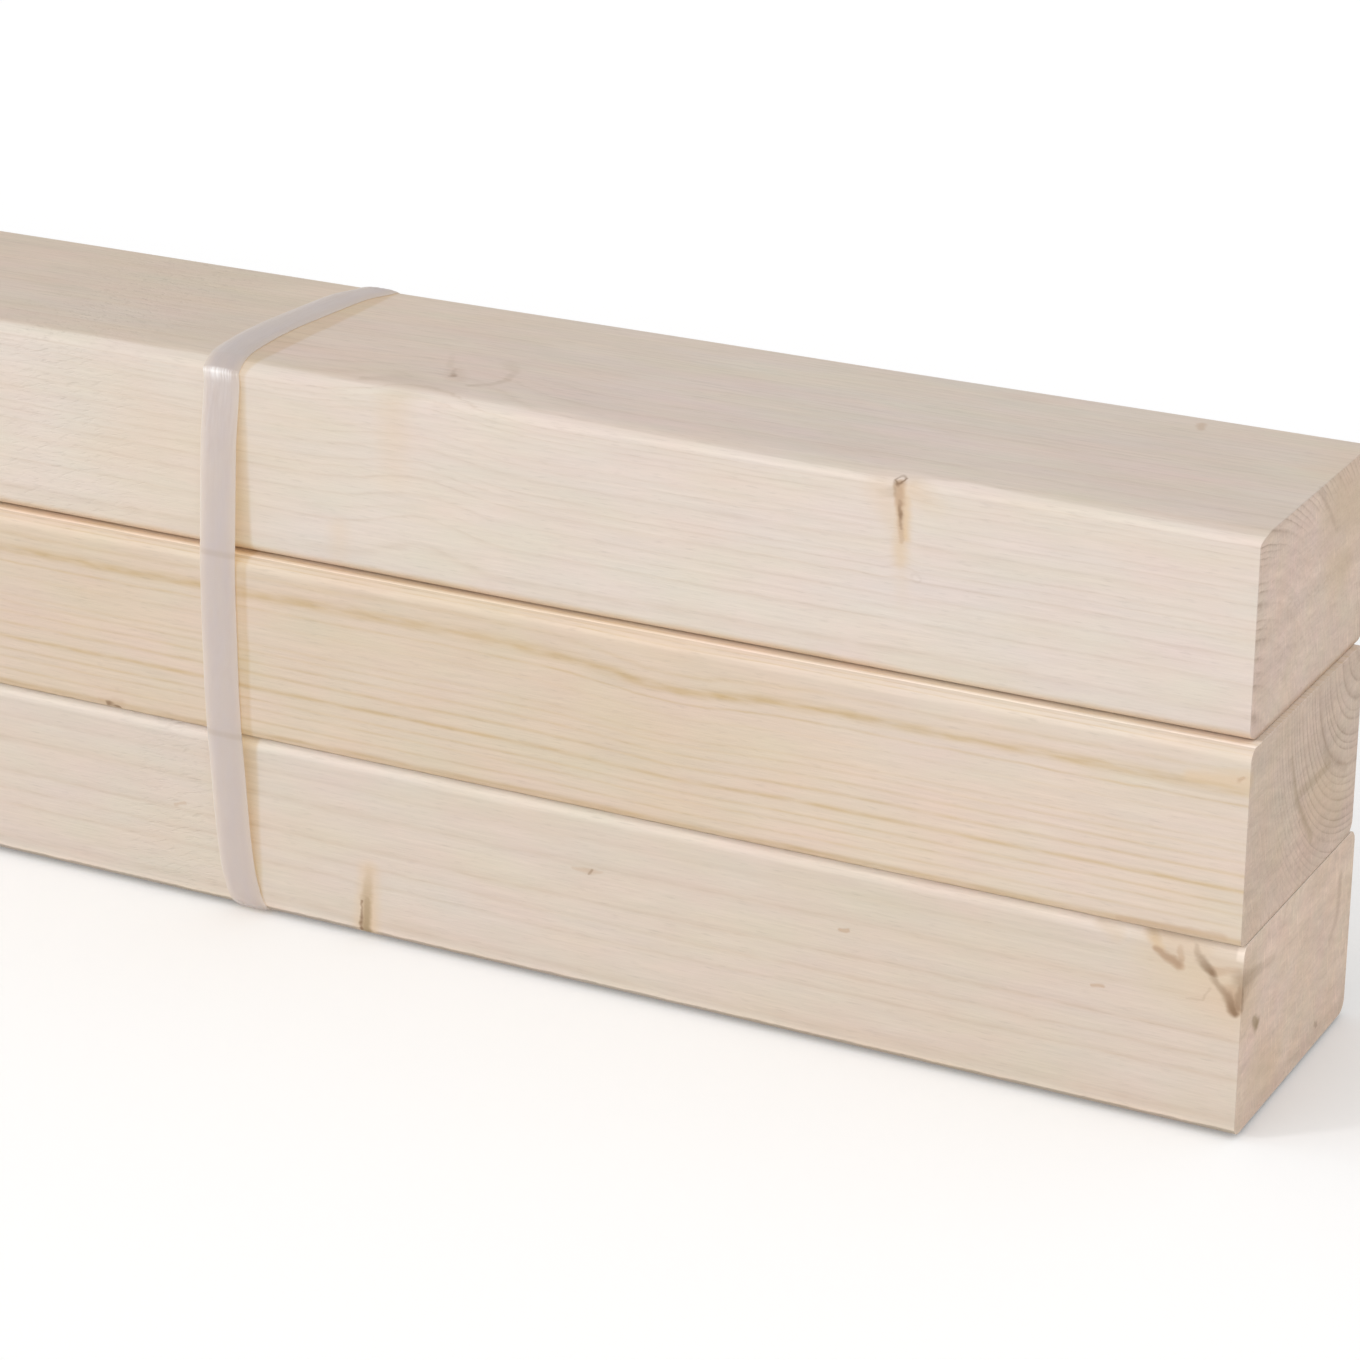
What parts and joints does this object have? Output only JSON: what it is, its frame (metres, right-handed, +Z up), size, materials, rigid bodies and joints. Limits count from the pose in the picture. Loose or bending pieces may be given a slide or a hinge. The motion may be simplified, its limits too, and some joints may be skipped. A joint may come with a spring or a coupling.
{
  "type": "bundle of wooden battens",
  "caption": "Planed softwood battens with rounded long edges, stacked flat on each other and bound near each end by a flat plastic strap.",
  "frame": {"origin": "on the floor, under the middle of the bundle's length and width", "axes": "+X along the battens towards the right-hand ends, -Y out of the front faces, +Z up"},
  "size_m": [2.1018, 0.0734, 0.1344],
  "materials": {
    "spruce_bottom": "planed, unfinished, pale with fine grain",
    "spruce_middle": "planed, unfinished, yellower with plain growth bands",
    "spruce_top": "planed, unfinished, pale with fine grain",
    "strap": "translucent milky polypropylene strap"
  },
  "bodies": {
    "root": {"batten_bottom": "spruce_bottom", "batten_middle": "spruce_middle", "batten_top": "spruce_top", "strap_right": "strap", "strap_left": "strap"}
  },
  "joints": []
}
